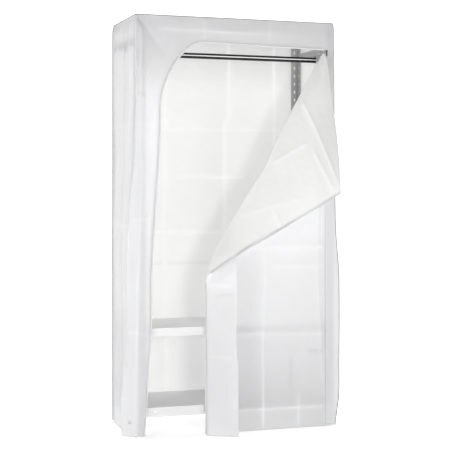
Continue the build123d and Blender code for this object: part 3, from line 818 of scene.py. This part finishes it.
def roofCloth():
    # a rectangle with rounded corners that sags between its edges
    gap = cover["gap"]
    u = np.linspace(-gap, width + gap, roofShape["rows"])[:, None]
    v = np.linspace(-gap, depth + gap, roofShape["cols"])[None, :]
    s, t = (u + gap) / (width + 2 * gap), (v + gap) / (depth + 2 * gap)
    u, v = roofOutline(*np.broadcast_arrays(u, v))
    span = np.sin(math.pi * s) * np.sin(math.pi * t)
    z = cover["roof"] - cover["roofSag"] * span**0.6
    endU = np.minimum(s, 1 - s) / roofShape["fadeU"]
    endV = np.minimum(t, 1 - t) / roofShape["fadeV"]
    lift = (creases(u, v, roofCreases) + ripple(u, v, 0.2, 0.001, 31)) * smooth(np.minimum(endU, endV))
    piece = clothPiece("roofCloth", at(u, v, z + lift), np.full(z.shape, 1.0), 1)
    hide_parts("cover_roof")
    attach(piece, "frame")
    return piece


leftSide = sideCloth("leftSideCloth", leftSeam, -1, cover["hemLeft"], sides["leftSink"], 1)
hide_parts("cover_left_side")
rightSide = sideCloth("rightSideCloth", rightSeam, 1, cover["hemRight"], sides["rightSink"], -1)
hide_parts("cover_right_side")
back = backCloth()
roof = roofCloth()
print("sides, back and roof made")


welt = {"radius": 0.0014, "inset": 0.0006, "raised": 0.0002, "rows": 240, "roofRows": 800}


def seamPaths():
    # the four upright seams, each set a little in from the corner it binds
    inset = welt["inset"]
    paths = {}
    for name, seam, sign, hem in (("Left", leftSeam, -1, "hemLeft"), ("Right", rightSeam, 1, "hemRight")):
        z = np.linspace(cover[hem], cover["roof"] - 0.002, welt["rows"])
        u, v, z = alongSeam(seam, sign, z).T
        paths["frontSeam" + name] = at(u + sign * inset, v - inset, z)
        u, v = backSeam(sign, z)
        paths["backSeam" + name] = at(u + sign * inset, v + inset, z)
    return paths


# each seam's tape chosen for its painted light or shade
seamTapeLightAndShade = {
    "frontSeamLeft": seamLitPale, "frontSeamRight": seamShadeDark,
    "backSeamLeft": seamShadeDark, "backSeamRight": seamShadeGrey,
}
for name, path in seamPaths().items():
    piece = tubePiece(name, path, welt["radius"], seamTapeLightAndShade[name])
    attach(piece, "frame")

# the roof's seam: a circle wider than the roof, cut off at its four sides
turn = np.linspace(0, 2 * math.pi, welt["roofRows"], endpoint=False)
past = 1.42
squareU = width / 2 + (width / 2 + cover["gap"]) * np.clip(past * np.cos(turn), -1, 1)
squareV = depth / 2 + (depth / 2 + cover["gap"]) * np.clip(past * np.sin(turn), -1, 1)
rimU, rimV = roofOutline(squareU, squareV)
rimPath = at(rimU, rimV, np.full_like(rimU, cover["roof"] + welt["raised"]))
# its tape is the dark copy: painted shade along the roof's edge
roofWelt = tubePiece("roofSeam", rimPath, welt["radius"], seamShadeDark, closed=True)
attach(roofWelt, "frame")
print("bound seams made")


door = {
    "edge": (0.299, -0.027), "ridge": (0.417, -0.103), "root": (0.359, -0.009),
    "foldFoot": (0.301, -0.0275, 0.707), "foldTop": (0.853, -0.010, 1.664),
    "roll": 0.0045, "hem": 0.0055, "lean": 0.16, "panelLean": 0.24, "soften": 0.0035,
    "rows": 190, "pleatCols": 75, "pleatTo": 0.262, "panelCols": 84,
    # along the fold: depth, middle and spread of its slack and of the swell below it
    "slack": (-0.014, 0.47, 0.11), "swell": (0.004, 0.13, 0.09),
    # how far its foot drops, and over what share of it
    "drop": (-0.002, 0, -0.019), "dropOver": 0.08,
}
foldFoot, foldTop = np.array(door["foldFoot"]), np.array(door["foldTop"])
foldWay = (foldTop - foldFoot) / np.linalg.norm(foldTop - foldFoot)
foldOut = np.array([-foldWay[2], 0, foldWay[0]])
inwards = np.array([0, 1.0, 0])


def foldLine(t):
    # the fold from its foot to its top, with a slack stretch drawn in below its middle
    t = np.asarray(t)[..., None]
    slack, swell = (much * hump(t, middle, spread) for much, middle, spread in (door["slack"], door["swell"]))
    drop = np.array(door["drop"]) * (1 - smooth(t / door["dropOver"]))
    line = foldFoot + (foldTop - foldFoot) * t + drop
    return line + foldOut * (slack + swell) * smooth(t / 0.05) * smooth((1 - t) / 0.05)


def doorPlan(w, z):
    # where the door's cloth stands in plan: free edge, pleat ridge, pleat root, then the panel to the hinge
    corners = np.array([door["edge"], door["ridge"], door["root"], (cover["hinge"], frontV)])
    lengths = np.linalg.norm(np.diff(corners, axis=0), axis=1)
    stops = np.concatenate([[0], np.cumsum(lengths)])
    total = 0
    steps = np.linspace(-1, 1, 7)
    for k in steps:
        place = np.clip(w + k * door["soften"], 0, stops[-1])
        total = total + np.stack([np.interp(place, stops, corners[:, i]) for i in (0, 1)], axis=-1)
    plan = total / len(steps)
    panel = smooth((w - stops[2] - 0.01) / 0.05)
    plan[..., 1] += (frontBulge(plan[..., 0], z) - frontV) * panel
    return plan, stops


def ridgeSway(w, z, stops):
    # the pleat's ridge jogs across below its middle
    jog = 0.005 * smooth((0.36 - z) / 0.06) - 0.004 * hump(z, 0.43, 0.10)
    return jog * hump(w, stops[1], 0.05)


def paintedRidgeLight(off):
    # painted highlight: a light line along a ridge, with a line of painted shade beside it
    return np.exp(-np.abs(off) / 0.003) - 0.8 * np.exp(-np.abs(off - 0.009) / 0.004)


def makeDoor():
    # rows run from the hem up to the fold; each column keeps its own place along the cut's width
    total = doorPlan(np.array([0.0]), np.array([1.0]))[1][-1]
    pleatW = np.linspace(0, door["pleatTo"], door["pleatCols"] + 1)[:-1]
    w = np.concatenate([pleatW, np.linspace(door["pleatTo"], total, door["panelCols"])])[None, :]
    h = np.linspace(0, 1, door["rows"])[:, None]
    top = foldLine(w[0] / total)
    z = door["hem"] + h * (top[None, :, 2] - door["hem"])
    w = np.broadcast_to(w, z.shape)
    plan, stops = doorPlan(w, z)
    hemDip = -0.004 * smooth((stops[2] - w) / 0.1) * (1 - smooth(z / 0.05))
    points = np.stack([plan[..., 0] + ridgeSway(w, z, stops), plan[..., 1], z + hemDip], axis=-1)
    # towards the top every column leans over to its own place on the fold
    goal = top[None] + np.array([0, door["roll"], 0])
    lean = door["lean"] + door["panelLean"] * smooth((w - stops[1]) / (stops[2] - stops[1]))
    k = smooth((z - (goal[..., 2] - lean)) / lean)[..., None]
    drawn = points.copy()
    drawn[..., :2] = goal[..., :2]
    points = points * (1 - k) + drawn * k
    u = points[..., 0]
    panel = smooth((w - stops[2] - 0.004) / 0.02) * smooth((total - w) / 0.012)
    pleat = 1 - smooth((w - stops[1] + 0.02) / 0.02)
    panelWave = creases(u, z, doorCreases) + ripple(u, z, 0.25, 0.0016, 41) + ripple(u, z, 0.06, 0.0004, 42)
    faceWave = creases(w, z, pleatCreases) + ripple(w, z, 0.12, 0.0013, 43)
    lift = panel * panelWave + pleat * faceWave * (0.35 + 0.65 * smooth(w / 0.01))
    world = raised(points, lift * smooth((goal[..., 2] - z) / 0.03), -1)
    edge = np.minimum(w, z - door["hem"])
    # painted highlights and shade along the folds, the pleat's ridge and the crease beside the hinge
    paintedFoldLines = foldHighlightsAndShade(u, z, doorCreases) * panel + foldHighlightsAndShade(w, z, pleatCreases) * pleat
    paintedFoldLines = paintedFoldLines + paintedRidgeLight(w - stops[1])
    crestEnds = smooth(z / 0.05) * (1 - smooth((z - 0.95) / 0.1))
    paintedFoldLines = paintedFoldLines + paintedRidgeLight(u - through(hingeCrease["z"], hingeCrease["u"], z)) * panel * crestEnds
    # painted shade: the panel darker towards its hem and lighter near the fold, the pleat lighter above its
    # middle
    paintedShade = 0.18 - 0.18 * smooth((z - 0.74) / 0.1) + 0.45 * smooth((0.42 - z) / 0.42) * panel
    paintedShade = paintedShade + pleat * (0.09 - 0.24 * smooth((z - 0.6) / 0.06))
    piece = clothPiece("doorCloth", world, edge, -1, paintedFoldLines, np.maximum(paintedShade, 0))
    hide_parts("door_panel", "door_pleat")
    return piece, world


doorPiece, doorPoints = makeDoor()
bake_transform(doorPiece)
print("door made")

# zip edge of the turned-over corner, then its right edge, both from the foot of the fold to its top
corner = {
    "zipAt": (0, 0.075, 0.14, 0.2, 0.27, 0.35, 0.43, 0.5, 0.555, 0.6),
    "zip": (
        (0.299, -0.0275, 0.688), (0.367, -0.080, 0.748), (0.412, -0.106, 0.781), (0.466, -0.100, 0.812),
        (0.536, -0.090, 0.844), (0.610, -0.082, 0.882), (0.690, -0.078, 0.925), (0.765, -0.080, 0.966),
        (0.834, -0.090, 1.004), (0.897, -0.100, 1.046),
    ),
    "sideAt": (0.6, 0.7, 0.8, 0.88, 0.96, 1.0),
    "side": (
        (0.897, -0.100, 1.046), (0.893, -0.084, 1.225), (0.880, -0.066, 1.405), (0.8665, -0.0565, 1.535),
        (0.859, -0.034, 1.640), (0.853, -0.0145, 1.668),
    ),
    "bulge": 0.012, "upperBulge": 0.010, "foldRows": 110, "sideRows": 74, "cols": 91, "curlCols": 9,
}


def cornerRim(s):
    low = through(corner["zipAt"], corner["zip"], np.clip(s, 0, 0.6))
    high = through(corner["sideAt"], corner["side"], np.clip(s, 0.6, 1))
    return np.where(s[..., None] <= 0.6, low, high)


def cornerGrid():
    # rows along the fold; columns round the roll of the fold and straight out to the rim, with a soft belly
    s = np.unique(np.concatenate([
        np.linspace(0, 0.6, corner["foldRows"]),
        np.linspace(0.6, 1, corner["sideRows"]),
    ]))
    root = foldLine(s)
    rim = cornerRim(s)
    roll = door["roll"] * (0.35 + 0.65 * smooth(s / 0.08)) * (0.35 + 0.65 * smooth((1 - s) / 0.08))
    turn = np.linspace(0, math.pi, corner["curlCols"])[None, :, None]
    curl = roll[:, None, None] * (np.cos(turn) * inwards + np.sin(turn) * foldOut)
    start = root[:, None] + curl
    r = np.linspace(0, 1, corner["cols"] + 1)[1:][None, :, None]
    flat = start[:, -1:] * (1 - r) + rim[:, None] * r
    points = np.concatenate([start, flat], axis=1)
    across = np.concatenate([np.zeros((1, corner["curlCols"])), r[..., 0]], axis=1)
    length = np.linalg.norm(rim - root, axis=1)[:, None]
    arch = np.sin(math.pi * across)
    points[..., 1] -= corner["bulge"] * arch * smooth(length / 0.2)
    points[..., 1] -= corner["upperBulge"] * hump(s[:, None], 0.86, 0.07) * np.maximum(arch, 0) ** 1.5
    keep = smooth(across * length / 0.03) * smooth((1 - across) * length / 0.006) * smooth(length / 0.06)
    u, z = points[..., 0], points[..., 2]
    lift = creases(u, z, cornerCreases) + ripple(u, z, 0.2, 0.002, 51) + ripple(u, z, 0.055, 0.0005, 52)
    # painted highlights and shade along the folds, and painted shade darker towards the top and the
    # right-hand end
    paintedFoldLines = foldHighlightsAndShade(u, z, cornerCreases) * keep
    paintedShade = 0.1 + 0.14 * smooth((z - 1.1) / 0.3) + 0.2 * smooth((u - 0.76) / 0.08)
    return raised(points, lift * keep, -1), (1 - across) * length, s, paintedFoldLines, paintedShade


cornerWorld, cornerEdge, cornerS, cornerPaintedFolds, cornerPaintedShade = cornerGrid()
cornerPiece = clothPiece("cornerCloth", cornerWorld, cornerEdge, 1, cornerPaintedFolds, cornerPaintedShade)
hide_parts("door_corner")
across = np.array([0, -1.0, 0]) + foldWay * foldWay[1]
across /= np.linalg.norm(across)
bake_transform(cornerPiece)


tuckShape = {
    "from": 0.604, "to": 0.80, "rows": 70, "cols": 26,
    "reach": 0.085, "least": 0.010, "radius": 0.0035, "rolled": 0.14, "belly": 0.004, "clear": 0.0035,
}


def cornerTuck():
    # slack behind the corner's right edge: rolls round the edge and runs back behind it in an arch
    s = np.linspace(tuckShape["from"], tuckShape["to"], tuckShape["rows"])
    rim = cornerRim(s)
    inward = unit(foldLine(s) - rim)
    along = (s - tuckShape["from"]) / (tuckShape["to"] - tuckShape["from"])
    reach = tuckShape["least"] + tuckShape["reach"] * np.sin(math.pi * along) ** 0.8
    taper = (1 - 0.7 * smooth((along - 0.6) / 0.4))[:, None, None]
    r = np.linspace(0, 1, tuckShape["cols"])[None, :, None]
    turned = np.clip(r / tuckShape["rolled"], 0, 1)
    turn = math.pi * turned
    roll = tuckShape["radius"] * taper * ((1 - np.cos(turn)) * inwards - np.sin(turn) * inward[:, None])
    run = np.clip((r - tuckShape["rolled"]) / (1 - tuckShape["rolled"]), 0, 1) * reach[:, None, None]
    points = rim[:, None] + roll + inward[:, None] * run
    behind = taper * (tuckShape["belly"] * np.sin(math.pi * r) + tuckShape["clear"] * turned)
    points[..., 1] += behind[..., 0]
    piece = clothPiece("cornerTuck", points + origin, np.full(points.shape[:2], 1.0), 1)
    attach(piece, "corner")
    return piece


tuck = cornerTuck()
print("turned-over corner made")


zipShape = {
    "tapeBack": 0.009, "tapeOut": 0.0035, "teethOut": 0.0062, "pitch": 0.003, "thick": 0.0011,
    "coil": 0.0007, "gape": 0.0012, "round": 0.0006, "behindCloth": 0.0013,
}


def spread(even, run, rows):
    # values read off a line at even distances along it
    return np.stack([np.interp(even, run, rows[:, i]) for i in range(3)], axis=1)


def zipPiece(name, line, outWay, frontWay, node, body):
    # tape and coil in one profile along a line: the coil swells and reaches out at every tooth
    steps = np.linalg.norm(np.diff(line, axis=0), axis=1)
    run = np.concatenate([[0], np.cumsum(steps)])
    count = int(run[-1] / (zipShape["pitch"] / 4))
    even = np.linspace(0, run[-1], count)
    path, outWay, frontWay = (spread(even, run, rows) for rows in (line, outWay, frontWay))
    tooth = 0.5 + 0.5 * np.sign(np.sin(2 * math.pi * even / zipShape["pitch"] + 0.01))
    tape = np.full(count, zipShape["thick"] / 2 * 0.4)
    coil = zipShape["thick"] / 2 + zipShape["coil"] * tooth
    tip = zipShape["teethOut"] - zipShape["gape"] * (1 - tooth)
    zero = np.zeros(count)
    # the profile's front half, then the same mirrored to the back
    face = [
        (zero - zipShape["tapeBack"], tape), (zero + zipShape["tapeOut"] - zipShape["gape"], tape),
        (zero + zipShape["tapeOut"], coil), (tip - zipShape["round"], coil), (tip, coil * 0.4),
    ]
    ring = face + [(out, -front) for out, front in reversed(face)]
    columns = [path + outWay * out[:, None] + frontWay * front[:, None] for out, front in ring]
    faces = gridFaces(count, len(ring), closed=True, out=-1)
    piece = meshPiece(name, np.stack(columns, axis=1), faces, [tapeWhite, teethWhite])
    band = np.arange(len(piece.data.polygons)) % len(ring)
    onTeeth = (band >= 1) & (band <= len(ring) - 3)
    piece.data.polygons.foreach_set("material_index", onTeeth.astype(np.int32))
    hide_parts(node)
    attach(piece, body)
    return piece


strip, arch, lintelLine = openingEdge()[:3]
flatLine = np.concatenate([strip, arch, lintelLine[:-1]])
behind = zipShape["behindCloth"]
zipLine = at(flatLine[:, 0], frontBulge(flatLine[:, 0], flatLine[:, 1]) + behind, flatLine[:, 1])
frontWay = np.tile(-inwards, (len(zipLine), 1))
intoOpening = np.cross(frontWay, unit(np.gradient(zipLine, axis=0)))
intoOpening = intoOpening * np.sign(intoOpening[0, 0])
openingZip = zipPiece("openingZip", zipLine, intoOpening, frontWay, "frame_zip_tape", "frame")

# the door's free edge, short of its hem and of the fold
reached = slice(2, -8)
edgeColumn = doorPoints[reached, 0]
outWay = -unit(doorPoints[:, 3] - doorPoints[:, 0])[reached]
faceWay = gridNormals(doorPoints, -1)[reached, 1]
pleatZip = zipPiece("pleatZip", edgeColumn - faceWay * behind, outWay, faceWay, "pleat_zip_tape", "door")

# the turned-over corner's lower edge, whose face now looks the other way
onZip = (cornerS > 0.012) & (cornerS <= 0.6)
rimPoints = cornerWorld[onZip, -1]
outWay = -unit(cornerWorld[onZip, -6] - rimPoints)
faceWay = gridNormals(cornerWorld, 1)[onZip, -3]
cornerZip = zipPiece("cornerZip", rimPoints + faceWay * behind, outWay, -faceWay, "corner_zip_tape", "corner")
print("zips made")


eyelet = {
    "z": 0.073, "share": 0.43, "out": 0.0012, "segments": 40,
    # radius and height of the pressed ring, from its bore round the flange to its back
    "profile": (
        (0.0040, -0.0012), (0.0040, 0.0006), (0.0044, 0.0011), (0.0056, 0.0013),
        (0.0072, 0.0009), (0.0080, 0.0002), (0.0078, -0.0004), (0.0050, -0.0012),
    ),
}


def makeEyelet():
    # a pressed ring: its profile turned about the axis square to the cloth, on the strip's turned side
    seamPlace = np.array(seamAt(leftSeam, eyelet["z"]))
    bend = np.array([front["bendU"], front["bendV"]])
    place = bend + (seamPlace - bend) * eyelet["share"]
    way = (seamPlace - bend) / np.linalg.norm(seamPlace - bend)
    normal = np.array([-way[1], way[0]])
    normal = normal if normal[1] < 0 else -normal
    turn = np.linspace(0, 2 * math.pi, eyelet["segments"], endpoint=False)
    upward = np.array([0, 0, 1.0])
    ring = np.cos(turn)[:, None] * np.array([*way, 0]) + np.sin(turn)[:, None] * upward
    centre = at(*(place + normal * eyelet["out"]), eyelet["z"])
    profile = np.array(eyelet["profile"])
    points = centre + profile[None, :, :1] * ring[:, None] + profile[None, :, 1:] * np.array([*normal, 0])
    faces = gridFaces(len(turn) + 1, len(profile), closed=True, out=1) % (len(turn) * len(profile))
    piece = meshPiece("hemEyelet", points, faces, [finishes["zip_metal"]])
    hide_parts("hem_eyelet")
    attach(piece, "frame")


makeEyelet()
print("eyelet made")

studio = {
    "floorHalf": 30.0, "floorGlow": 0.44, "behind": 1.34, "before": 0.11, "turnFrom": -0.7, "turnTo": 0.75,
    "lights": {
        # place, aim, size, power
        "keyLight": ((-3.4, -2.6, 1.3), (0.0, 0.0, 0.7), (1.2, 1.2), 50.0),
        "fillLight": ((-0.45, -5.0, 1.1), (0.05, 0.0, 0.8), (0.8, 0.8), 84.0),
        "stripLight": ((1.75, -5.0, 1.35), (0.05, 0.0, 1.5), (1.7, 0.55), 12.0),
    },
}
half = studio["floorHalf"]
floorSide = np.linspace(-half, half, 3)
floorPoints = np.stack(np.broadcast_arrays(floorSide[:, None], floorSide[None, :], 0.0), axis=-1)
s = Shader("floorPaper")
mottle = s.noise(s.place(), 3.0)
paper = s.tint(mottle, grey(0.90), grey(0.93))
values = {
    "Base Color": paper, "Roughness": 0.8,
    "Emission Color": grey(1.0), "Emission Strength": studio["floorGlow"],
}
floorPaper = s.finish(s.node("ShaderNodeBsdfPrincipled", values=values))
floor = meshPiece("floor", floorPoints, gridFaces(3, 3), [floorPaper])

camera = {
    "place": (-1.7655, -5.164, 1.048), "yaw": -19.09, "reach": 200,
    "lens": 96.9, "sensor": 36, "shift": -0.077,
}
# walls brighter behind the wardrobe than before it, as seen from where the camera stands
world = bpy.data.worlds.new("studioWalls")
bpy.context.scene.world = world
world.use_nodes = True
tree = world.node_tree
tree.nodes.clear()
sight = (math.sin(math.radians(-camera["yaw"])), math.cos(math.radians(camera["yaw"])), 0.0)
coords = tree.nodes.new("ShaderNodeTexCoord")
facing = tree.nodes.new("ShaderNodeVectorMath")
facing.operation = "DOT_PRODUCT"
facing.inputs[1].default_value = sight
change = tree.nodes.new("ShaderNodeMapRange")
change.interpolation_type = "SMOOTHSTEP"
change.inputs["From Min"].default_value = studio["turnFrom"]
change.inputs["From Max"].default_value = studio["turnTo"]
change.inputs["To Min"].default_value = studio["before"]
change.inputs["To Max"].default_value = studio["behind"]
backdrop = tree.nodes.new("ShaderNodeBackground")
backdrop.inputs["Color"].default_value = (1, 1, 1, 1)
output = tree.nodes.new("ShaderNodeOutputWorld")
tree.links.new(coords.outputs["Generated"], facing.inputs[0])
tree.links.new(facing.outputs["Value"], change.inputs["Value"])
tree.links.new(change.outputs["Result"], backdrop.inputs["Strength"])
tree.links.new(backdrop.outputs["Background"], output.inputs["Surface"])


def softBox(name, place, aim, size, power):
    lamp = bpy.data.lights.new(name, "AREA")
    lamp.shape = "RECTANGLE"
    lamp.size, lamp.size_y = size
    lamp.energy = power
    box = bpy.data.objects.new(name, lamp)
    box.location = place
    box.rotation_euler = (Vector(aim) - Vector(place)).to_track_quat("-Z", "Y").to_euler()
    box.visible_camera = False
    bpy.context.scene.collection.objects.link(box)


for name, settings in studio["lights"].items():
    softBox(name, *settings)

lens = bpy.data.cameras.new("camera")
lens.lens = camera["lens"]
lens.sensor_width = camera["sensor"]
lens.shift_y = camera["shift"]
lens.clip_end = camera["reach"]
viewer = bpy.data.objects.new("camera", lens)
viewer.location = camera["place"]
viewer.rotation_euler = (math.radians(90), 0, math.radians(camera["yaw"]))
bpy.context.scene.collection.objects.link(viewer)
bpy.context.scene.camera = viewer
bpy.context.scene.view_settings.view_transform = "Standard"
print("studio set")
